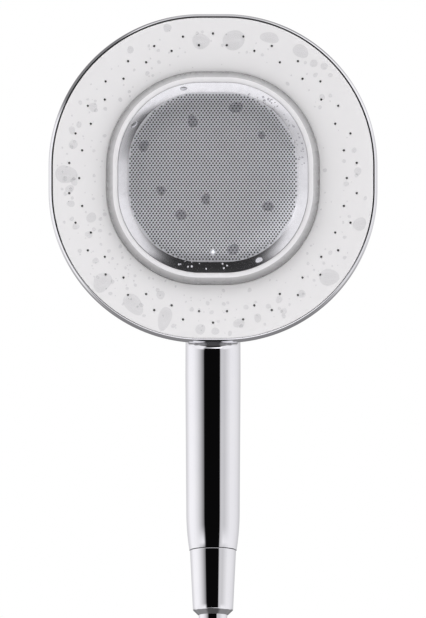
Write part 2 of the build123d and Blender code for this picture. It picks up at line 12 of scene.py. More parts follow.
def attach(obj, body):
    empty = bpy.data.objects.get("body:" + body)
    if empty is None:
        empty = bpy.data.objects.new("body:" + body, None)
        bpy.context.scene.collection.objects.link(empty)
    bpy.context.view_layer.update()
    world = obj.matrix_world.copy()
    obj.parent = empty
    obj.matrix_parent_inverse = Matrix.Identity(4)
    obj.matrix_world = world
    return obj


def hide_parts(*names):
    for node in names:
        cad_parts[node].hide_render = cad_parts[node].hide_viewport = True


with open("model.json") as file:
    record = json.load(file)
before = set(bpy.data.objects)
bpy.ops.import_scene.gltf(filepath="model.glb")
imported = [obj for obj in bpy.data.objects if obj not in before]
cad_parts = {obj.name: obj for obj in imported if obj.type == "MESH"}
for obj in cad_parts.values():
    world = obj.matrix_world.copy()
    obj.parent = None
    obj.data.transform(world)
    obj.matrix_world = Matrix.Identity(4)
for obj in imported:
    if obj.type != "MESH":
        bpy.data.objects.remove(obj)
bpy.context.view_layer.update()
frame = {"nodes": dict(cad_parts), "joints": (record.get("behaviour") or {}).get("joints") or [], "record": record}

# The shower speaker's visible surfaces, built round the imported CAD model, in metres.
#
# Row frame: +Z up along the handle, origin in the middle of the inlet thread.
# Head frame: x to the right, y is depth behind the face's outer edge, z up along
# the face. The speaker slides out along -y of the head frame.

MM = 0.001
random.seed(7)


# ---- the head frame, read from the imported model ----

def joint(name):
    return next(j for j in frame["joints"] if j["name"] == name)


OUT = np.array(joint("speaker_undock")["axis"], float)
OUT /= np.linalg.norm(OUT)
RIGHT = np.array([1.0, 0.0, 0.0])
UP = np.cross(RIGHT, -OUT)
AXES = np.array([RIGHT, -OUT, UP])
TILT = atan2(-UP[1], UP[2])


def node_points(name):
    mesh = frame["nodes"][name].data
    points = np.empty(len(mesh.vertices) * 3)
    mesh.vertices.foreach_get("co", points)
    return points.reshape(-1, 3)


def turned_box(name):
    points = node_points(name) @ AXES.T
    return points.min(0), points.max(0)


face_low, face_high = turned_box("spray_face")
ORIGIN = np.array([0.0, face_low[1], (face_low[2] + face_high[2]) / 2]) @ AXES


def in_head(points):
    return (np.asarray(points) - ORIGIN) @ AXES.T


def from_head(points):
    return ORIGIN + np.asarray(points) @ AXES


def head_box(name):
    points = in_head(node_points(name))
    return points.min(0), points.max(0)


# ---- sizes, from the frame or as in the CAD ----

CORE = 6.2 * MM                      # half of the straight stretch of every outline
HEAD_HALF = head_box("shell_and_handle")[1][0]
FACE_HALF = head_box("spray_face")[1][0]
BEZEL_HALF = head_box("bezel_ring")[1][0]
GRILLE_HALF = head_box("speaker_grille")[1][0]

DOME_START = 6.0 * MM
DOME_RISE = 40.0 * MM
LIP_RADIUS = 7.152 * MM              # rounding of the shell's front edge
LIP_DEPTH = DOME_START - 1 * MM      # depth of that rounding's middle
HANDLE_SETBACK = 20.9 * MM
HEAD_TO_BEND = 88.8 * MM
BEND_RADIUS = 100.0 * MM
HANDLE_RADIUS = 14.45 * MM
HANDLE_LOW = (13.7 * MM, 65.6 * MM)      # radius and height where the grip rounds in
HANDLE_END = (12.05 * MM, 45.3 * MM)
BEND_HEIGHT = from_head([0, HANDLE_SETBACK, -HEAD_TO_BEND])[2]
BEND_FOOT = BEND_HEIGHT - BEND_RADIUS * tan(TILT / 2)
ARM_END = -46 * MM                   # how far up the face the arm goes on inside the head
NECK_BLEND = 3.6 * MM                # softening where the arm meets the head

WELD = 2e-6                          # CAD points nearer than this are one point
SKIN_REACH = 0.8 * MM                # how near the exact surface a face of the outside is
SKIN_FACING = 0.93                   # and how well it faces the same way

PERFORATED_HALF = 43.35 * MM
GRILLE_CROWN = head_box("speaker_grille")[0][1]
GRILLE_BAND = GRILLE_CROWN + 1.6 * MM
GRILLE_EDGE = GRILLE_CROWN + 3.9 * MM
GRILLE_WALL = 0.8 * MM
SKIRT_WALL = 0.6 * MM
MAIN_REACH = PERFORATED_HALF - CORE
MAIN_SAG = GRILLE_BAND - GRILLE_CROWN
CROWN_POWER = 7                      # how much of the crown's fall is left to its edge
HOLE_PITCH = 1.696 * MM
HOLE_ROWS = 1.165 * MM
HOLE_RADIUS = 0.45 * MM
HOLE_SIDES = 10
HOLE_MARGIN = 0.6 * MM               # sheet left between the last hole centres and the border
STATUS_LIGHT_DROP = 38.2 * MM
LIGHT_HOLE = 0.95 * MM
LIGHT_SIDES = 24
LIGHT_MARGIN = 1.1 * MM              # sheet left round the status light
BAND_STEPS = 12
BAND_ROUND_STEPS = 3                 # of which this many round into the border
BAND_ROUND_STEP = 0.12 * MM
BAND_SLOPES = (-3, 4)                # the border's slope in degrees, against its mean slope

BEZEL_TURN = BEZEL_HALF - 3.3 * MM   # where the bezel's land turns into its shoulder

FACE_HOLE_HALF = 54.85 * MM
FACE_SLOPE_DEPTH = 2.65 * MM
NOZZLE_RINGS = ((68.9 * MM, 6), (74.4 * MM, 0))      # radius and first angle
NOZZLES_IN_RING = 30
NOZZLE_HOLE = 0.58 * MM

THREAD_RADIUS = 20.955 / 2 * MM
THREAD_PITCH = 1.814 * MM
THREAD_DEPTH = 1.162 * MM

CAMERA_DISTANCE = 0.900
CAMERA_DROP = 67.4 * MM
CAMERA_FOCAL = 1750.3                # in pixels of the image height
IMAGE_HEIGHT = 618
SENSOR = 36.0                        # millimetres
FLOOR = -0.4
FLOOR_HALF = 3

DIFFUSE_LIGHT = 1.95                 # how much more the studio gives to matt surfaces
STUDIO_TINT = (0.99, 1.01)           # green and blue against red

# Azimuths are in degrees from the camera's side, positive to the right, and heights are degrees
# over the horizon. A window of azimuths is its two ends and how soft they are.
STUDIO_FRONT = (-70, 70, 20)
STUDIO_NOT_BACK = (-135, 135, 20)
STUDIO_SIDES = ((-105, -40, 8), (42, 105, 8))

# light at the horizon: azimuth and level
STUDIO_RING = ((-180, 0.60), (-140, 0.74), (-118, 0.96), (-100, 0.97), (-85, 0.92), (-69, 0.76),
               (-54, 0.52), (-43, 0.27), (-39, 0.18), (-37, 0.003), (29, 0.003), (31, 0.55),
               (37, 0.62), (50, 0.60), (65, 0.74), (80, 0.86), (98, 0.86), (120, 0.80),
               (150, 0.62), (180, 0.60))

# light over the horizon, each laid over those before: level, where it starts, where it is full
# and the part of the studio it is in
STUDIO_ABOVE = ((0.95, 21, 26, "all"), (0.58, 18, 26, "back"), (0.58, 64, 80, "all"))

# grey cards high up: azimuth span, height span, level
STUDIO_CARDS = ((-168, -78, 30, 64, 0.22), (125, 172, 42, 66, 0.36))
CARD_SOFT = (12, 5)                  # softness of their upright and level edges

# light just under the horizon in front: level at the left, what is added to the right, the
# azimuths between which it is added, heights, window
STUDIO_LOW_FRONT = (0.55, 1.0, -22, 22, -13, -17, (-48, 44, 6))

# light under the horizon, like that over it, up to the sides' own window of heights
STUDIO_BELOW = ((0.22, 2, -4, "back"), (0.24, -26, -36, "all"), (0.03, -25, -34, "front"))
STUDIO_LOW_SIDES = (0.90, (-50, -3, 5))
STUDIO_DEEP = (0.07, -64, -76, "all")


# ---- mesh helpers ----

def new_piece(name, points, faces, smooth_angle=30):
    mesh = bpy.data.meshes.new(name)
    mesh.from_pydata([tuple(p) for p in points], [], [tuple(f) for f in faces])
    mesh.validate()
    mesh.shade_smooth()
    if smooth_angle:
        mesh.set_sharp_from_angle(angle=radians(smooth_angle))
    piece = bpy.data.objects.new(name, mesh)
    bpy.context.scene.collection.objects.link(piece)
    return piece


def finish_piece(piece, body, slot, material, *nodes):
    piece.data.materials.clear()
    piece.data.materials.append(material)
    if nodes:
        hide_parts(*nodes)
    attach(piece, body)
    return piece


def half_width(x, z):
    """Size of the rounded square through each point."""
    across = np.maximum(np.abs(x) - CORE, 0)
    along = np.maximum(np.abs(z) - CORE, 0)
    return CORE + np.hypot(across, along)


def second_finish(piece, material, inner, outer):
    """Give the faces between two outlines another material."""
    piece.data.materials.append(material)
    for polygon in piece.data.polygons:
        x, _, z = in_head([polygon.center])[0]
        polygon.material_index = int(inner < half_width(x, z) < outer)


def outline(half, steps):
    """Points round a rounded square, counter-clockwise seen from the front."""
    points = []
    for quarter, (sx, sz) in enumerate(((1, 1), (-1, 1), (-1, -1), (1, -1))):
        for step in range(steps + 1):
            angle = pi / 2 * (quarter + step / steps)
            points.append((sx * CORE + (half - CORE) * cos(angle),
                           sz * CORE + (half - CORE) * sin(angle)))
    return points


def swept(name, section, steps, smooth_angle=30):
    """A closed section of half width and depth carried round the rounded square."""
    points, faces = [], []
    for half, depth in section:
        points += [(x, depth, z) for x, z in outline(half, steps)]
    size = 4 * (steps + 1)
    count = len(section)
    for row in range(count):
        low, high = row * size, (row + 1) % count * size
        for k in range(size):
            n = (k + 1) % size
            faces.append((low + k, low + n, high + n, high + k))
    return new_piece(name, from_head(points), faces, smooth_angle)


def lathe(name, section, steps, smooth_angle, shaped=None):
    """A closed section of radius and height turned about the handle's axis."""
    points, faces = [], []
    for step in range(steps):
        angle = 2 * pi * step / steps
        for radius, z in section:
            r = shaped(radius, z, angle) if shaped else radius
            points.append((r * cos(angle), r * sin(angle), z))
    count = len(section)
    for step in range(steps):
        low, high = step * count, (step + 1) % steps * count
        for k in range(count):
            n = (k + 1) % count
            faces.append((low + k, low + n, high + n, high + k))
    return new_piece(name, points, faces, smooth_angle)


def arc(centre, radius, first, last, steps):
    """Points of an arc, its angles in degrees."""
    angles = [radians(first + (last - first) * k / steps) for k in range(steps + 1)]
    return [(centre[0] + radius * cos(a), centre[1] + radius * sin(a)) for a in angles]


def circle_through(a, b, c):
    """Centre and radius of the circle through three points."""
    (ax, ay), (bx, by), (cx, cy) = a, b, c
    double = 2 * (ax * (by - cy) + bx * (cy - ay) + cx * (ay - by))
    a2, b2, c2 = ax * ax + ay * ay, bx * bx + by * by, cx * cx + cy * cy
    x = (a2 * (by - cy) + b2 * (cy - ay) + c2 * (ay - by)) / double
    y = (a2 * (cx - bx) + b2 * (ax - cx) + c2 * (bx - ax)) / double
    return (x, y), hypot(ax - x, ay - y)


def apply_modifiers(piece):
    graph = bpy.context.evaluated_depsgraph_get()
    mesh = bpy.data.meshes.new_from_object(piece.evaluated_get(graph))
    piece.modifiers.clear()
    piece.data = mesh


def outward(piece):
    """Turn every face of a closed piece outwards."""
    work = bmesh.new()
    work.from_mesh(piece.data)
    bmesh.ops.recalc_face_normals(work, faces=work.faces)
    work.to_mesh(piece.data)
    work.free()
    return piece


# ---- materials ----

NOISE_ROUGHNESS = 0.55
COLOUR_NOISE = (0.35, 0.65)          # the span of a noise over which a colour changes
GLOSS_NOISE = (0.3, 0.7)
GLOSS_SCALE = 2.3                    # how much finer the gloss wanders than the colour
GRAIN_DETAIL = 2
GRAIN_DEPTH = 0.05 * MM


class Nodes:
    """A material's node tree with short ways to add what it needs."""

    def __init__(self, name):
        self.material = bpy.data.materials.new(name)
        self.material.use_nodes = True
        self.tree = self.material.node_tree
        self.shader = self.tree.nodes["Principled BSDF"]
        coordinates = self.tree.nodes.new("ShaderNodeTexCoord")
        self.place = coordinates.outputs["Object"]

    def link(self, a, b):
        self.tree.links.new(a, b)

    def noise(self, scale, detail=3.0):
        node = self.tree.nodes.new("ShaderNodeTexNoise")
        node.inputs["Scale"].default_value = scale
        node.inputs["Detail"].default_value = detail
        node.inputs["Roughness"].default_value = NOISE_ROUGHNESS
        self.link(self.place, node.inputs["Vector"])
        return node.outputs["Fac"]

    def span(self, value, low, high, to_low, to_high):
        node = self.tree.nodes.new("ShaderNodeMapRange")
        for socket, number in zip(("From Min", "From Max", "To Min", "To Max"),
                                  (low, high, to_low, to_high)):
            node.inputs[socket].default_value = number
        self.link(value, node.inputs["Value"])
        return node.outputs["Result"]

    def blend(self, factor, first, second):
        node = self.tree.nodes.new("ShaderNodeMix")
        node.data_type = "RGBA"
        self.link(factor, node.inputs["Factor"])
        node.inputs["A"].default_value = (*first, 1)
        node.inputs["B"].default_value = (*second, 1)
        return node.outputs["Result"]

    def bump(self, height, strength, distance):
        node = self.tree.nodes.new("ShaderNodeBump")
        node.inputs["Strength"].default_value = strength
        node.inputs["Distance"].default_value = distance
        self.link(height, node.inputs["Height"])
        self.link(node.outputs["Normal"], self.shader.inputs["Normal"])

    def set(self, **values):
        for key, value in values.items():
            self.shader.inputs[key.replace("_", " ")].default_value = value


def surface(name, light, dark, roughness, scale=60, metallic=0.0, grain=0.0, grain_size=1500,
            **extra):
    """A finish whose colour and gloss wander between two values."""
    made = Nodes(name)
    made.link(made.blend(made.span(made.noise(scale), *COLOUR_NOISE, 0, 1), light, dark),
              made.shader.inputs["Base Color"])
    made.link(made.span(made.noise(scale * GLOSS_SCALE), *GLOSS_NOISE, *roughness),
              made.shader.inputs["Roughness"])
    made.set(Metallic=metallic, **extra)
    if grain:
        made.bump(made.noise(grain_size, GRAIN_DETAIL), grain, GRAIN_DEPTH)
    return made.material


FINISH = {
    "chrome": surface("chrome", (0.94, 0.94, 0.96), (0.91, 0.91, 0.94), (0.02, 0.05), 40, 1.0),
    "face": surface("white_face", (0.930, 0.926, 0.922), (0.924, 0.920, 0.916), (0.30, 0.36), 12,
                    grain=0.06, grain_size=900),
    # painted shade: the bezel shoulder's finish is a darker copy of the white plastic that its land gets
    "bezel": surface("bezel_plastic", (0.64, 0.635, 0.64), (0.62, 0.615, 0.62), (0.24, 0.32), 80,
                     grain=0.1),
    "bezel_land": surface("bezel_land", (0.95, 0.945, 0.95), (0.93, 0.925, 0.93), (0.20, 0.28),
                          80),
    "silicone": surface("nozzle_silicone", (0.03, 0.03, 0.03), (0.02, 0.02, 0.02), (0.5, 0.65),
                        300),
    "grille": surface("grille_metal", (0.93, 0.93, 0.97), (0.90, 0.90, 0.94), (0.36, 0.42), 200,
                      0.68),
    "grille_rim": surface("grille_rim", (0.92, 0.92, 0.95), (0.88, 0.88, 0.91), (0.20, 0.26), 200,
                          1.0),
    "cloth": surface("mesh_cloth", (0.012, 0.012, 0.014), (0.006, 0.006, 0.007), (0.8, 0.95),
                     2500, grain=0.6, grain_size=6000),
    "light": surface("status_light", (0.95, 0.96, 1.0), (0.9, 0.93, 1.0), (0.2, 0.3), 400,
                     Emission_Color=(0.9, 0.94, 1.0, 1.0), Emission_Strength=0.8),
    "inner": surface("inner_plastic", (0.32, 0.33, 0.35), (0.27, 0.28, 0.30), (0.45, 0.6), 90,
                     grain=0.4),
    "dock": surface("dock_plastic", (0.055, 0.055, 0.06), (0.04, 0.04, 0.045), (0.38, 0.52), 90,
                    grain=0.5),
    "puck": surface("puck_plastic", (0.11, 0.11, 0.12), (0.085, 0.085, 0.09), (0.35, 0.5), 90,
                    grain=0.5),
    "button": surface("button_rubber", (0.17, 0.17, 0.18), (0.13, 0.13, 0.14), (0.5, 0.65), 150,
                      grain=0.4),
    "mark": surface("mark_grey", (0.55, 0.55, 0.56), (0.50, 0.50, 0.51), (0.5, 0.6), 300),
    "seal": surface("seal_rubber", (0.03, 0.03, 0.03), (0.018, 0.018, 0.018), (0.6, 0.8), 200,
                    grain=0.5),
    "magnet": surface("magnet_metal", (0.5, 0.5, 0.51), (0.42, 0.42, 0.43), (0.3, 0.42), 300,
                      1.0),
    "steel": surface("screw_steel", (0.62, 0.62, 0.63), (0.52, 0.52, 0.53), (0.22, 0.36), 500,
                     1.0, grain=0.2),
    "basket": surface("basket_metal", (0.09, 0.09, 0.095), (0.06, 0.06, 0.065), (0.35, 0.5), 200,
                      grain=0.3),
    "paper": surface("cone_paper", (0.04, 0.04, 0.042), (0.025, 0.025, 0.027), (0.7, 0.9), 800,
                     grain=0.7, grain_size=3000),
    "copper": surface("coil_copper", (0.75, 0.42, 0.25), (0.62, 0.32, 0.18), (0.25, 0.35), 600,
                      1.0),
    "battery": surface("battery_wrap", (0.58, 0.61, 0.66), (0.50, 0.53, 0.58), (0.25, 0.4), 80),
    "board": surface("board_green", (0.03, 0.20, 0.09), (0.02, 0.14, 0.06), (0.3, 0.42), 500,
                     grain=0.3),
    "chip": surface("chip_black", (0.03, 0.03, 0.032), (0.02, 0.02, 0.021), (0.5, 0.65), 500,
                    grain=0.3),
    "gold": surface("contact_gold", (0.90, 0.70, 0.34), (0.82, 0.60, 0.26), (0.12, 0.22), 500,
                    1.0),
}

SLOT_FINISH = {
    "chromed_shell": "chrome", "chromed_metal": "chrome", "white_face": "face",
    "nozzle_silicone": "silicone", "inner_plastic": "inner", "dock_plastic": "dock",
    "seal_rubber": "seal", "magnet_metal": "magnet", "screw_steel": "steel",
    "screen_metal": "steel", "grille_metal": "grille", "mesh_cloth": "cloth",
    "bezel_plastic": "bezel", "light_pipe": "light", "puck_plastic": "puck",
    "contact_gold": "gold", "basket_metal": "basket", "cone_paper": "paper",
    "coil_copper": "copper", "battery_wrap": "battery", "board_green": "board",
    "chip_black": "chip", "button_rubber": "button",
}

for entry in frame["record"]["subparts"]:
    node = frame["nodes"][entry["node"]]
    node.data.materials.clear()
    node.data.materials.append(FINISH[SLOT_FINISH[entry["material_slot"]]])


# ---- chrome shell and handle: the CAD mesh, refined onto its exact surface ----

def dome_distance(head):
    """Signed distance from the head's outside, near enough close to it."""
    x, y, z = head.T
    reach = half_width(x, z) - CORE
    wide = HEAD_HALF - CORE
    rise = np.maximum(y - DOME_START, 0)
    level = np.sqrt((reach / wide) ** 2 + (rise / DOME_RISE) ** 2)
    slope = np.sqrt((reach / wide ** 2) ** 2 + (rise / DOME_RISE ** 2) ** 2)
    back = (level - 1) * level / np.maximum(slope, 1e-9)
    front = np.hypot(reach - (wide - LIP_RADIUS), np.minimum(y - LIP_DEPTH, 0)) - LIP_RADIUS
    return np.where(y > DOME_START, back, front)


def handle_distance(row, head):
    """Signed distance from the grip, the bend over it and the arm that goes into the head."""
    x, y, z = row.T
    low_radius, low_height = HANDLE_LOW
    end_radius, end_height = HANDLE_END
    taper = (HANDLE_RADIUS - low_radius) / (BEND_FOOT - low_height)
    radius = low_radius + taper * (z - low_height)
    drop, run = low_radius - end_radius, low_height - end_height
    round_radius = (drop ** 2 + run ** 2) / (2 * drop)
    below = np.clip(low_height - z, 0, run)
    rounded = low_radius - (round_radius - np.sqrt(round_radius ** 2 - below ** 2))
    grip = np.hypot(x, y) - np.where(z < low_height, rounded, np.minimum(radius, HANDLE_RADIUS))
    spread = np.hypot(y + BEND_RADIUS, z - BEND_FOOT)
    turn = np.arctan2(z - BEND_FOOT, y + BEND_RADIUS)
    bend = np.hypot(x, spread - BEND_RADIUS) - HANDLE_RADIUS
    past_end = np.maximum(head[:, 2] - ARM_END, 0)
    top = np.sqrt(head[:, 0] ** 2 + (head[:, 1] - HANDLE_SETBACK) ** 2 + past_end ** 2)
    return np.where(turn < 0, grip, np.where(turn < TILT, bend, top - HANDLE_RADIUS))


def shell_distance(row):
    """Signed distance from the whole shell, the two parts softly joined."""
    head = in_head(row)
    first, second = dome_distance(head), handle_distance(row, head)
    near = np.clip(0.5 + 0.5 * (second - first) / NECK_BLEND, 0, 1)
    return second * (1 - near) + first * near - NECK_BLEND * near * (1 - near)


def gradient(distance, points, step=0.02 * MM):
    """Unit directions in which a distance grows."""
    found = np.empty_like(points)
    for k in range(3):
        offset = np.zeros(3)
        offset[k] = step
        found[:, k] = (distance(points + offset) - distance(points - offset)) / (2 * step)
    return found / np.maximum(np.linalg.norm(found, axis=1, keepdims=True), 1e-9)


def refined(name, node, distance, cuts):
    """A finer copy of a CAD mesh, its outside moved onto an exact surface."""
    work = bmesh.new()
    work.from_mesh(frame["nodes"][node].data)
    bmesh.ops.remove_doubles(work, verts=work.verts, dist=WELD)
    bmesh.ops.subdivide_edges(work, edges=work.edges, cuts=cuts, use_grid_fill=True)
    bmesh.ops.triangulate(work, faces=work.faces)
    mesh = bpy.data.meshes.new(name)
    work.to_mesh(mesh)
    work.free()
    points = np.empty(len(mesh.vertices) * 3)
    mesh.vertices.foreach_get("co", points)
    points = points.reshape(-1, 3)
    corners = np.empty(len(mesh.loops), int)
    mesh.loops.foreach_get("vertex_index", corners)
    corners = corners.reshape(-1, 3)
    a, b, c = (points[corners[:, k]] for k in range(3))
    facing = np.cross(b - a, c - a)
    facing /= np.maximum(np.linalg.norm(facing, axis=1, keepdims=True), 1e-15)
    middle = (a + b + c) / 3
    away = gradient(distance, middle)
    near = np.abs(distance(middle)) < SKIN_REACH
    outside = near & ((facing * away).sum(1) > SKIN_FACING)
    moving = np.zeros(len(points), bool)
    moving[corners[outside].ravel()] = True
    for _ in range(3):
        ground = points[moving]
        points[moving] = ground - distance(ground)[:, None] * gradient(distance, ground)
    mesh.vertices.foreach_set("co", points.ravel())
    mesh.update()
    mesh.shade_smooth()
    normals = np.repeat(facing, 3, axis=0)
    at_corner = gradient(distance, points)[corners.ravel()]
    shown = np.repeat(outside, 3)
    normals[shown] = at_corner[shown]
    mesh.normals_split_custom_set([tuple(n) for n in normals])
    piece = bpy.data.objects.new(name, mesh)
    bpy.context.scene.collection.objects.link(piece)
    return piece


shell = refined("chrome_shell", "shell_and_handle", shell_distance, 1)
finish_piece(shell, "handset", "chromed_shell", FINISH["chrome"], "shell_and_handle")


# ---- grille: a real perforated sheet ----

def crown_depth(half):
    """Depth of the grille's perforated crown at one outline."""
    return GRILLE_CROWN + MAIN_SAG * ((half - CORE) / MAIN_REACH) ** CROWN_POWER


def hole_centres():
    centres = []
    rows = int(PERFORATED_HALF / HOLE_ROWS) + 1
    columns = int(PERFORATED_HALF / HOLE_PITCH) + 1
    for row in range(-rows, rows + 1):
        for column in range(-columns, columns + 1):
            x = HOLE_PITCH * (column + row % 2 / 2)
            z = HOLE_ROWS * row
            light = hypot(x, z + STATUS_LIGHT_DROP) < HOLE_RADIUS + LIGHT_MARGIN
            if half_width(x, z) < PERFORATED_HALF - HOLE_MARGIN and not light:
                centres.append((x, z))
    return centres


def perforated_sheet(steps):
    """The crown in plan: points, faces between the holes, hole loops and the rim's first point."""
    circles = [(x, z, HOLE_RADIUS, HOLE_SIDES) for x, z in hole_centres()]
    circles.append((0, -STATUS_LIGHT_DROP, LIGHT_HOLE, LIGHT_SIDES))
    flat, loops = [], []
    for x, z, radius, sides in circles:
        loops.append(list(range(len(flat), len(flat) + sides)))
        flat += [(x + radius * cos(2 * pi * k / sides),
                  z + radius * sin(2 * pi * k / sides)) for k in range(sides)]
    rim = outline(PERFORATED_HALF, steps)
    rim_first = len(flat)
    flat += rim
    edges = [(loop[k - 1], loop[k]) for loop in loops for k in range(len(loop))]
    edges += [(rim_first + k, rim_first + (k + 1) % len(rim)) for k in range(len(rim))]
    found, _, faces, origin, _, _ = delaunay_2d_cdt([Vector(p) for p in flat], edges, [], 1, 1e-7)
    places = [origin[k][0] for k in range(len(found))]
    faces = [[places[k] for k in face] for face in faces]
    owner = {k: number for number, loop in enumerate(loops) for k in loop}
    faces = [face for face in faces if len({owner.get(k, -1 - k) for k in face}) > 1]
    return flat, faces, loops, rim_first


def grille_band():
    """The rolled border from the last holes to the grille's edge, as half width and depth."""
    first = atan(CROWN_POWER * MAIN_SAG / MAIN_REACH)
    run, drop = GRILLE_HALF - PERFORATED_HALF, GRILLE_EDGE - GRILLE_BAND
    mean = atan2(drop, run)
    low, high = BAND_SLOPES
    slopes = [first + (mean + radians(low) - first) * k / (BAND_ROUND_STEPS + 1)
              for k in range(1, BAND_ROUND_STEPS + 1)]
    widths = [BAND_ROUND_STEP] * BAND_ROUND_STEPS
    steps = BAND_STEPS - BAND_ROUND_STEPS
    slopes += [mean + radians(low + (high - low) * k / (steps - 1)) for k in range(steps)]
    widths += [(run - sum(widths)) / steps] * steps
    fall = [width * tan(slope) for width, slope in zip(widths, slopes)]
    points = [(PERFORATED_HALF, GRILLE_BAND)]
    for width, deep in zip(widths, fall):
        points.append((points[-1][0] + width, points[-1][1] + deep * drop / sum(fall)))
    return points


def make_grille():
    """Crown with its holes, rolled border and skirt, front and back, as one closed mesh."""
    steps = 40
    flat, faces, loops, rim_first = perforated_sheet(steps)
    x, z = np.array(flat).T
    depth = crown_depth(half_width(x, z))
    count = len(flat)
    points = [(x[k], depth[k], z[k]) for k in range(count)]
    points += [(x[k], depth[k] + GRILLE_WALL, z[k]) for k in range(count)]
    skin = list(faces) + [[k + count for k in reversed(face)] for face in faces]
    for loop in loops:
        for k in range(len(loop)):
            a, b = loop[k - 1], loop[k]
            skin.append((a, b, b + count, a + count))
    band = grille_band()
    foot = head_box("speaker_grille")[1][1]
    inner = GRILLE_HALF - SKIRT_WALL
    section = band[1:] + [(GRILLE_HALF, foot), (inner, foot)]
    section += [(min(half, inner), deep + GRILLE_WALL) for half, deep in reversed(band[1:])]
    size = 4 * (steps + 1)
    rows = [rim_first]
    for half, deep in section:
        rows.append(len(points))
        points += [(px, deep, pz) for px, pz in outline(half, steps)]
    rows.append(rim_first + count)
    for low, high in zip(rows, rows[1:]):
        for k in range(size):
            n = (k + 1) % size
            skin.append((low + k, low + n, high + n, high + k))
    return outward(new_piece("perforated_grille", from_head(points), skin, 35))


grille = finish_piece(make_grille(), "speaker", "grille_metal", FINISH["grille"],
                      "speaker_grille")
second_finish(grille, FINISH["grille_rim"], PERFORATED_HALF, HEAD_HALF)


# ---- bezel and spray face ----

def make_bezel():
    """A narrow bright land round the grille, then a rounded shoulder."""
    inner = BEZEL_HALF - 5.65 * MM
    facet = BEZEL_HALF - 3.45 * MM
    low = GRILLE_CROWN + 3.85 * MM
    foot = 2.4 * MM
    widest = BEZEL_HALF + 0.3 * MM
    centre, radius = circle_through((facet, low), (widest - 1.0 * MM, -1.6 * MM),
                                    (widest, foot))
    first = atan2(low - centre[1], facet - centre[0])
    last = atan2(foot - centre[1], widest - centre[0])
    shoulder = [(centre[0] + radius * cos(first + (last - first) * k / 20),
                 centre[1] + radius * sin(first + (last - first) * k / 20)) for k in range(21)]
    lip = ((0, 2.4), (0, 0.7), (0.06, 0.48), (0.2, 0.36), (0.8, 0.14))
    land = [(inner + across * MM, low + deep * MM) for across, deep in lip]
    land += [(facet - 0.25 * MM, low + 0.01 * MM), (facet - 0.1 * MM, low)]
    seat, end, back = BEZEL_HALF - 3.75 * MM, 4.4 * MM, low + 2.4 * MM
    wall = [(widest, end - 0.1 * MM), (widest - 0.1 * MM, end), (seat, end), (seat, back)]
    return outward(swept("bezel", land + shoulder[1:] + wall, 64, 24))


def paint_shade_outwards(material, piece, inner, outer, dark):
    """Paint shade into a material's colour, deepening it evenly from one outline of its piece to another."""
    mesh = piece.data
    points = np.empty(len(mesh.vertices) * 3)
    mesh.vertices.foreach_get("co", points)
    x, y, z = in_head(points.reshape(-1, 3)).T
    share = np.clip((half_width(x, z) - inner) / (outer - inner), 0, 1)
    layer = mesh.attributes.new("outwards", "FLOAT", "POINT")
    layer.data.foreach_set("value", share.astype(np.float32))
    tree = material.node_tree
    colour = tree.nodes["Principled BSDF"].inputs["Base Color"]
    source = colour.links[0].from_socket
    read = tree.nodes.new("ShaderNodeAttribute")
    read.attribute_name = "outwards"
    mix = tree.nodes.new("ShaderNodeMix")
    mix.data_type = "RGBA"
    tree.links.new(read.outputs["Fac"], mix.inputs["Factor"])
    tree.links.new(source, mix.inputs["A"])
    mix.inputs["B"].default_value = (*dark, 1)
    tree.links.new(mix.outputs["Result"], colour)


bezel = finish_piece(make_bezel(), "speaker", "bezel_plastic", FINISH["bezel"], "bezel_ring")
# Painted shade: the bezel shoulder's colour darkens towards its outer foot, where the studio light would not reach
paint_shade_outwards(FINISH["bezel"], bezel, BEZEL_TURN, BEZEL_HALF, (0.25, 0.25, 0.25))
# The land gets the brighter copy of the bezel plastic; the shoulder's darker copy is painted shade.
second_finish(bezel, FINISH["bezel_land"], 0, BEZEL_TURN)


def nozzle_places():
    places = []
    for radius, first in NOZZLE_RINGS:
        for step in range(NOZZLES_IN_RING):
            angle = radians(first + 360 / NOZZLES_IN_RING * step)
            places.append((radius * sin(angle), radius * cos(angle)))
    return places


def face_depth(half):
    """Depth of the white face's front surface at one outline."""
    outer, inner = FACE_HALF - 0.25 * MM, FACE_HOLE_HALF + 0.25 * MM
    return FACE_SLOPE_DEPTH * (outer - half) / (outer - inner)


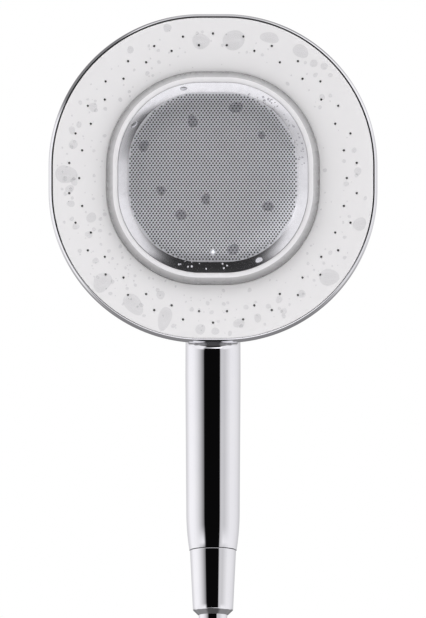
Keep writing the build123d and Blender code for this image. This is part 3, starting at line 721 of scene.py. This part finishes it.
def make_face():
    """The white dish round the speaker, with rounded edges and a hole for each nozzle."""
    outer, inner, wall = FACE_HALF - 0.2 * MM, FACE_HOLE_HALF, 2.25 * MM
    edge, spans = 0.45 * MM, 8
    slope = atan2(FACE_SLOPE_DEPTH, outer - inner)
    skirt, sleeve = outer - 2.2 * MM, inner + 1.95 * MM
    skirt_end, sleeve_end = 5.4 * MM, 9 * MM
    section = arc((outer - edge, edge), edge, 0, -90, 5)
    section += [(outer - edge + (inner + edge - outer + edge) * k / spans,
                 (outer - inner - 2 * edge) * tan(slope) * k / spans)
                for k in range(1, spans + 1)]
    low = section[-1][1] + edge
    section += arc((inner + edge, low), edge, -90, -180, 5)[1:]
    section += [(inner, sleeve_end), (sleeve, sleeve_end), (sleeve, face_depth(sleeve) + wall),
                (skirt, face_depth(skirt) + wall), (skirt, skirt_end), (outer, skirt_end)]
    face = outward(swept("spray_dish", section, 72))
    turn = Matrix([[*axis] for axis in AXES]).transposed().to_4x4()
    lying = Matrix.Rotation(pi / 2, 4, "X")
    cutters = []
    for x, z in nozzle_places():
        bpy.ops.mesh.primitive_cylinder_add(vertices=28, radius=NOZZLE_HOLE, depth=12 * MM)
        cutter = bpy.context.object
        cutter.data.transform(Matrix.Translation(from_head([x, 2 * MM, z])) @ turn @ lying)
        cutters.append(cutter)
    for cutter in cutters:
        cutter.select_set(True)
    bpy.context.view_layer.objects.active = cutters[0]
    bpy.ops.object.join()
    cutter = bpy.context.object
    holes = face.modifiers.new("holes", "BOOLEAN")
    holes.object = cutter
    holes.operation = "DIFFERENCE"
    holes.solver = "EXACT"
    apply_modifiers(face)
    bpy.data.objects.remove(cutter)
    face.data.set_sharp_from_angle(angle=radians(30))
    return face


finish_piece(make_face(), "handset", "white_face", FINISH["face"], "spray_face")


# ---- raised marks on the speaker's buttons ----

MARK_RISE = 0.12 * MM
MARK_SINK = 0.05 * MM
MARK_LONG, MARK_WIDE = 3.4 * MM, 0.55 * MM
STROKE = 2.2 * MM
SIDE_ARM = (MARK_LONG - MARK_WIDE) / 2


def make_mark(name, button, bars):
    """Thin raised bars on a button's top, each as across, up, width and height."""
    low, high = head_box(button)
    x, z = (low[0] + high[0]) / 2, (low[2] + high[2]) / 2
    top = high[1]
    points, faces = [], []
    for across, up, width, height in bars:
        first = len(points)
        for depth in (top - MARK_SINK, top + MARK_RISE):
            for sx, sz in ((-1, -1), (1, -1), (1, 1), (-1, 1)):
                points.append((x + across + sx * width / 2, depth, z + up + sz * height / 2))
        for face in ((0, 1, 2, 3), (4, 5, 6, 7), (0, 1, 5, 4), (1, 2, 6, 5), (2, 3, 7, 6),
                     (3, 0, 4, 7)):
            faces.append([first + k for k in face])
    piece = outward(new_piece(name, from_head(points), faces))
    finish_piece(piece, button, "button_rubber", FINISH["mark"])


minus = [(0, 0, MARK_LONG, MARK_WIDE)]
plus = minus + [(0, side * (SIDE_ARM + MARK_WIDE) / 2, MARK_WIDE, SIDE_ARM) for side in (-1, 1)]
stroke = [(0, 0, MARK_WIDE, STROKE)]
make_mark("minus_mark", "volume_down_button", minus)
make_mark("plus_mark", "volume_up_button", plus)
make_mark("power_mark", "power_button", stroke)


# ---- water drops ----

DROP_SIDES = 28
DROP_RINGS = (0.25, 0.48, 0.66, 0.80, 0.90, 0.96, 0.99, 1.0)
DROP_SINK = 0.03 * MM

# larger drops as across, up, radius in millimetres, stretch and lean in degrees
FACE_DROPS = (
    (-79.0, 2.0, 5.4, 0.9, 0), (-60.0, -56.5, 5.2, 0.9, 40), (-43.5, -69.0, 4.2, 1.5, 35),
    (-25.0, -72.5, 3.6, 1.7, -15), (-6.5, -77.8, 2.8, 0.9, 0), (1.2, -78.8, 2.1, 0.9, 0),
    (13.3, -74.7, 3.0, 0.8, 20), (23.0, -72.0, 1.9, 1.2, 0), (62.5, -53.5, 5.0, 0.9, -30),
    (75.5, -23.7, 3.6, 0.9, 60), (74.5, 3.5, 1.9, 1.1, 0), (10.7, 71.0, 5.6, 0.95, 0),
    (-6.3, 70.4, 4.6, 0.85, 20), (30.2, 75.0, 5.0, 0.55, -12), (46.6, 67.4, 4.2, 0.8, -25),
    (51.8, 59.0, 2.1, 0.9, 0), (57.2, 57.5, 1.8, 1.1, 0), (-23.5, 77.2, 2.2, 0.9, 0),
    (-42.5, 66.0, 1.8, 1.0, 0), (-61.8, 36.5, 2.2, 1.1, 0), (-72.0, 17.2, 2.3, 1.0, 0),
    (-71.5, -1.8, 1.6, 1.5, 20), (-73.8, -5.6, 2.4, 0.8, 30), (-73.2, -13.2, 2.1, 0.8, 0),
    (-62.7, -20.3, 2.5, 1.1, 0), (-70.6, -25.0, 1.9, 0.8, 20), (-64.0, -29.0, 1.9, 1.0, 0),
    (-72.6, 24.6, 1.6, 1.3, 0), (-69.0, 27.5, 1.4, 1.2, 0), (45.6, -59.7, 2.1, 1.0, 0),
    (34.0, -62.5, 1.8, 1.0, 0), (36.4, -68.5, 1.6, 1.0, 0), (28.6, -66.0, 1.4, 1.0, 0),
    (17.0, -66.5, 1.3, 1.0, 0), (-27.0, -60.2, 2.0, 1.2, 20), (-60.4, -42.5, 1.7, 0.9, 0),
    (56.2, 41.8, 1.5, 1.0, 0), (72.6, 14.3, 1.4, 1.0, 0), (68.5, -3.0, 1.3, 1.0, 0),
)
GRILLE_DROPS = (
    (11.7, 35.5, 3.6, 0.8, 0), (-10.4, 28.5, 2.9, 1.1, 0), (-35.3, 15.8, 2.3, 1.5, -20),
    (24.8, 21.3, 1.9, 1.1, 0), (-26.5, -7.0, 2.4, 1.1, 0), (-3.6, -11.4, 2.4, 1.1, 0),
    (-16.3, -19.4, 2.7, 1.1, 0), (28.0, -15.0, 2.9, 0.9, 0), (10.2, -37.0, 2.9, 1.0, 0),
)
RIM_DROPS = ((24.0, -43.2, 2.0, 0.6, 25), (-15.6, 47.0, 1.9, 0.5, 8), (-40.5, 27.3, 2.2, 0.5, 55))
LOOSE_DROPS = 260
LOOSE_RADII = (0.35, 0.45, 0.55, 0.8, 1.1)
LOOSE_REACH = (57.5, 80.5)
# beads round the grille: first and last angle, how many
BEADS = ((8, 72, 46), (-112, -72, 11))


def drop_outline(x, z, radius, stretch, lean, wobble):
    """Rings of one flat drop's plan, from its middle outwards."""
    rings = []
    for share in DROP_RINGS:
        ring = []
        for k in range(DROP_SIDES):
            angle = 2 * pi * k / DROP_SIDES
            reach = share * radius * (1 + wobble[0] * cos(2 * angle + wobble[1])
                                      + wobble[2] * cos(3 * angle + wobble[3]))
            across, along = reach * cos(angle), stretch * reach * sin(angle)
            ring.append((x + across * cos(lean) - along * sin(lean),
                         z + across * sin(lean) + along * cos(lean)))
        rings.append(ring)
    return rings


def make_drops(name, drops, depth_at):
    """Flat water drops that lie on a surface, each a closed cap."""
    points, faces = [], []
    for x, z, radius, stretch, lean in drops:
        wobble = [random.uniform(0.02, 0.10), random.uniform(0, 2 * pi),
                  random.uniform(0.02, 0.07), random.uniform(0, 2 * pi)]
        height = 0.50 * radius / (1 + 0.07 * radius / MM)
        rings = drop_outline(x, z, radius, stretch, lean, wobble)
        first = len(points)
        points.append((x, depth_at(x, z) - height, z))
        for share, ring in zip(DROP_RINGS, rings):
            rise = height * max(1 - share ** 2.5, 0) ** 0.6
            points += [(px, depth_at(px, pz) - rise + DROP_SINK, pz) for px, pz in ring]
        points.append((x, depth_at(x, z) + 2 * DROP_SINK, z))
        last = len(points) - 1
        for k in range(DROP_SIDES):
            n = (k + 1) % DROP_SIDES
            faces.append((first, first + 1 + n, first + 1 + k))
            for row in range(len(DROP_RINGS) - 1):
                low = first + 1 + row * DROP_SIDES
                faces.append((low + k, low + n, low + DROP_SIDES + n, low + DROP_SIDES + k))
            low = last - DROP_SIDES
            faces.append((last, low + k, low + n))
    return outward(new_piece(name, from_head(points), faces, 60))


def clear_of_nozzles(x, z, radius):
    return all(hypot(x - nx, z - nz) > radius + 0.9 * MM for nx, nz in nozzle_places())


def scattered_drops():
    """Small drops over the face, thickest at its left and lower sides, clear of the nozzles."""
    drops = []
    while len(drops) < LOOSE_DROPS:
        angle, reach = random.uniform(0, 2 * pi), random.uniform(*LOOSE_REACH) * MM
        x, z = reach * cos(angle), reach * sin(angle)
        wanted = 0.18 + 0.55 * max(-cos(angle), 0) + 0.45 * max(-sin(angle), 0)
        radius = random.choice(LOOSE_RADII) * MM
        half = half_width(x, z)
        fits = FACE_HOLE_HALF + 1.5 * MM < half < FACE_HALF - 1.5 * MM
        if fits and random.random() < wanted and clear_of_nozzles(x, z, radius) and all(
                hypot(x - dx, z - dz) > radius + size for dx, dz, size, _, _ in drops):
            drops.append((x, z, radius, random.uniform(0.8, 1.25), random.uniform(0, pi)))
    return drops


def placed_drops(rows, limit):
    """Drops in metres, moved in from the edge where they would hang over it."""
    drops = []
    for x, z, radius, stretch, lean in rows:
        allowed = limit - 1.12 * radius * max(1, stretch) * MM
        inward = MM * min(1, allowed / half_width(x * MM, z * MM))
        drops.append((x * inward, z * inward, radius * MM, stretch, radians(lean)))
    return drops


def scattered_beads():
    """Tiny beads along the grille's right side and foot."""
    beads = []
    for first, last, count in BEADS:
        for _ in range(count):
            angle, radius = radians(random.uniform(first, last)), random.uniform(0.25, 0.6) * MM
            half = random.uniform(PERFORATED_HALF - 0.5 * MM, GRILLE_HALF - 1.2 * MM)
            reach = half
            for _ in range(8):
                reach *= half / half_width(reach * cos(angle), reach * sin(angle))
            beads.append((reach * cos(angle), reach * sin(angle), radius,
                          random.uniform(0.8, 1.3), random.uniform(0, pi)))
    return beads


def on_face(x, z):
    return face_depth(min(max(half_width(x, z), FACE_HOLE_HALF), FACE_HALF))


def on_speaker(x, z):
    half = float(half_width(x, z))
    if half < PERFORATED_HALF:
        return crown_depth(half)
    widths, depths = zip(*grille_band())
    return float(np.interp(half, widths, depths))


# Painted shade: the water's colour is grey, so the clear drops look darker than what lies under them.
def water(name, light, dark):
    return surface(name, light, dark, (0.0, 0.01), 300, IOR=1.333, Transmission_Weight=1.0)


face_drops = placed_drops(FACE_DROPS, FACE_HALF - 0.9 * MM) + scattered_drops()
grille_drops = placed_drops(GRILLE_DROPS, PERFORATED_HALF)
rim_drops = placed_drops(RIM_DROPS, GRILLE_HALF) + scattered_beads()
# painted shade: drops on the face and beads are tinted light grey, drops on the grille dark grey
for name, body, drops, depth_at, material in (
        ("water_drops_face", "handset", face_drops, on_face,
         water("water", (0.76, 0.76, 0.77), (0.73, 0.73, 0.74))),
        ("water_drops_grille", "speaker", grille_drops, on_speaker,
         water("water_on_metal", (0.42, 0.42, 0.44), (0.34, 0.34, 0.36))),
        ("water_beads_grille", "speaker", rim_drops, on_speaker,
         water("water_bead", (0.72, 0.72, 0.74), (0.64, 0.64, 0.66)))):
    piece = make_drops(name, drops, depth_at)
    piece.data.materials.append(material)
    piece.visible_shadow = False
    piece.visible_diffuse = False
    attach(piece, body)


# ---- end cone and swivel nipple ----

def make_end_cone():
    """Conical end with softened edges, a chamfer and the nipple's bore."""
    top, high = 11.75 * MM, HANDLE_END[1] - 0.25 * MM
    low, foot = 10.15 * MM, 14.9 * MM
    bore, mouth = 7.28 * MM, 12.6 * MM
    section = [(bore, mouth + 0.2 * MM), (bore + 0.12 * MM, mouth), (bore + 0.35 * MM, mouth)]
    reach, fall = low - 0.5 * MM - section[-1][0], foot - 0.42 * MM - mouth
    section += [(section[-1][0] + reach * k / 20, mouth + fall * k / 20) for k in (1, 19)]
    section += [(low - 0.5 * MM, foot - 0.42 * MM), (low - 0.22 * MM, foot - 0.2 * MM),
                (low - 0.07 * MM, foot), (low, foot + 0.3 * MM)]
    section += [(low + (top - low) * k / 12, foot + (high - foot) * k / 12) for k in range(1, 12)]
    section += [(top, high - 0.4 * MM), (top - 0.05 * MM, high - 0.15 * MM),
                (top - 0.2 * MM, high), (bore, high)]
    return outward(lathe("end_cone_skin", section, 160, 28))


def make_nipple():
    """Neck, collar with two wrench flats, and a real G1/2 thread."""
    low, high = -5.5 * MM, 5.5 * MM
    collar, collar_top = 10.75 * MM, 8.5 * MM
    neck, end, bore = 7.2 * MM, 20.0 * MM, 8.3 * MM
    section = [(bore, low + 2.4 * MM), (bore, low)]
    rows = 110
    section += [(THREAD_RADIUS, low + (high - low) * k / rows) for k in range(rows + 1)]
    section += [(collar - 0.25 * MM, high), (collar, high + 0.25 * MM),
                (collar, collar_top - 0.4 * MM), (collar - 0.12 * MM, collar_top - 0.12 * MM),
                (collar - 0.4 * MM, collar_top), (neck + 0.35 * MM, collar_top),
                (neck + 0.1 * MM, collar_top + 0.1 * MM), (neck, collar_top + 0.35 * MM),
                (neck, collar_top + 0.45 * MM), (neck, end - 0.1 * MM), (neck, end),
                (bore - 3.7 * MM, end), (bore - 3.7 * MM, low + 2.4 * MM)]

    def shaped(r, z, angle):
        if r == THREAD_RADIUS:
            turn = (z / THREAD_PITCH - angle / (2 * pi)) % 1
            height = min(max(abs(turn - 0.5) * 3.2 - 0.3, 0), 1)
            fade = min(1, (z - low) / (0.8 * THREAD_PITCH), (high - z) / (0.6 * THREAD_PITCH))
            return r - THREAD_DEPTH * (1 - height * max(fade, 0))
        if high < z < collar_top and r > collar - 0.5 * MM:
            return min(r, (collar - 0.65 * MM) / max(abs(cos(angle)), 1e-6))
        return r

    return outward(lathe("nipple_skin", section, 160, 32, shaped))


finish_piece(make_end_cone(), "handset", "chromed_metal", FINISH["chrome"], "end_cone")
nipple = finish_piece(make_nipple(), "swivel", "chromed_metal", FINISH["chrome"], "swivel_nipple")
nipple.visible_glossy = False


# ---- camera ----

camera_data = bpy.data.cameras.new("camera")
camera_data.sensor_fit = "AUTO"
camera_data.sensor_width = SENSOR
camera_data.lens = SENSOR * CAMERA_FOCAL / IMAGE_HEIGHT
camera_data.clip_end = 20
camera = bpy.data.objects.new("camera", camera_data)
bpy.context.scene.collection.objects.link(camera)
camera.matrix_world = Matrix.Translation(from_head([0, -CAMERA_DISTANCE, -CAMERA_DROP])) @ \
    Matrix(np.array([RIGHT, UP, OUT]).T.tolist()).to_4x4()
bpy.context.scene.camera = camera


# ---- studio ----

def studio_world():
    """White studio with a black card behind the camera, darker below and behind.

    Camera rays see plain white, and matt surfaces get more light than mirrors show."""
    world = bpy.data.worlds.new("studio")
    world.use_nodes = True
    bpy.context.scene.world = world
    tree = world.node_tree
    tree.nodes.clear()

    def calculated(operation, *values):
        node = tree.nodes.new("ShaderNodeMath")
        node.operation = operation
        for socket, value in zip(node.inputs, values):
            if isinstance(value, (int, float)):
                socket.default_value = value
            else:
                tree.links.new(value, socket)
        return node.outputs[0]

    def times(first, second):
        return calculated("MULTIPLY", first, second)

    def ramp(value, low, high):
        node = tree.nodes.new("ShaderNodeMapRange")
        node.interpolation_type = "SMOOTHSTEP"
        node.inputs["From Min"].default_value = low
        node.inputs["From Max"].default_value = high
        tree.links.new(value, node.inputs["Value"])
        return node.outputs["Result"]

    place = tree.nodes.new("ShaderNodeTexCoord").outputs["Generated"]
    split = tree.nodes.new("ShaderNodeSeparateXYZ")
    tree.links.new(place, split.inputs[0])
    x, y, z = split.outputs
    side = times(calculated("ARCTAN2", x, times(y, -1)), 180 / pi)
    height = times(calculated("ARCSINE", z), 180 / pi)

    def mixed(first, second, factor):
        keep = calculated("SUBTRACT", 1, factor)
        return calculated("ADD", times(first, keep), times(second, factor))

    def window(value, low, high, soft):
        rise = ramp(value, low - soft, low + soft)
        fall = ramp(value, high + soft, high - soft)
        return times(rise, fall)

    ring = tree.nodes.new("ShaderNodeFloatCurve")
    curve = ring.mapping.curves[0]
    curve.points[0].location = (0, STUDIO_RING[0][1])
    curve.points[-1].location = (1, STUDIO_RING[-1][1])
    for azimuth, level in STUDIO_RING[1:-1]:
        curve.points.new((azimuth + 180) / 360, level)
    for point in curve.points:
        point.handle_type = "VECTOR"
    ring.mapping.update()
    tree.links.new(calculated("DIVIDE", calculated("ADD", side, 180), 360), ring.inputs["Value"])
    light = calculated("MINIMUM", ring.outputs["Value"], 1)
    back = calculated("SUBTRACT", 1, window(side, *STUDIO_NOT_BACK))
    parts = {"front": window(side, *STUDIO_FRONT), "back": back}

    def layered(light, layer):
        level, start, full, part = layer
        share = ramp(height, start, full)
        if part in parts:
            share = times(share, parts[part])
        return mixed(light, level, share)

    for layer in STUDIO_ABOVE:
        light = layered(light, layer)
    upright, flat = CARD_SOFT
    for left, right, low, high, level in STUDIO_CARDS:
        card = times(window(side, left, right, upright), window(height, low, high, flat))
        light = mixed(light, level, card)
    left_level, added, left, right, start, full, span = STUDIO_LOW_FRONT
    level = calculated("ADD", left_level, times(ramp(side, left, right), added))
    share = times(ramp(height, start, full), window(side, *span))
    light = mixed(light, level, share)
    for layer in STUDIO_BELOW:
        light = layered(light, layer)
    level, span = STUDIO_LOW_SIDES
    sides = calculated("ADD", *(window(side, *ends) for ends in STUDIO_SIDES))
    light = mixed(light, level, times(window(height, *span), sides))
    light = layered(light, STUDIO_DEEP)
    path = tree.nodes.new("ShaderNodeLightPath")
    light = mixed(light, times(light, DIFFUSE_LIGHT), path.outputs["Is Diffuse Ray"])

    tint = tree.nodes.new("ShaderNodeCombineColor")
    tree.links.new(light, tint.inputs[0])
    for share, socket in zip(STUDIO_TINT, tint.inputs[1:]):
        tree.links.new(times(light, share), socket)
    lit = tree.nodes.new("ShaderNodeBackground")
    tree.links.new(tint.outputs[0], lit.inputs["Color"])
    seen = tree.nodes.new("ShaderNodeBackground")
    seen.inputs["Color"].default_value = (1, 1, 1, 1)
    chosen = tree.nodes.new("ShaderNodeMixShader")
    tree.links.new(path.outputs["Is Camera Ray"], chosen.inputs[0])
    tree.links.new(lit.outputs[0], chosen.inputs[1])
    tree.links.new(seen.outputs[0], chosen.inputs[2])
    output = tree.nodes.new("ShaderNodeOutputWorld")
    tree.links.new(chosen.outputs[0], output.inputs["Surface"])


studio_world()

corners = [(x * FLOOR_HALF, y * FLOOR_HALF, FLOOR) for x, y in ((-1, -1), (1, -1), (1, 1), (-1, 1))]
floor = new_piece("floor", corners, [(0, 1, 2, 3)], 0)
floor.data.materials.append(surface("pale_floor", (0.85, 0.85, 0.85), (0.845, 0.845, 0.845),
                                    (0.5, 0.55), 2))
floor.visible_glossy = False

bpy.context.scene.view_settings.view_transform = "Standard"
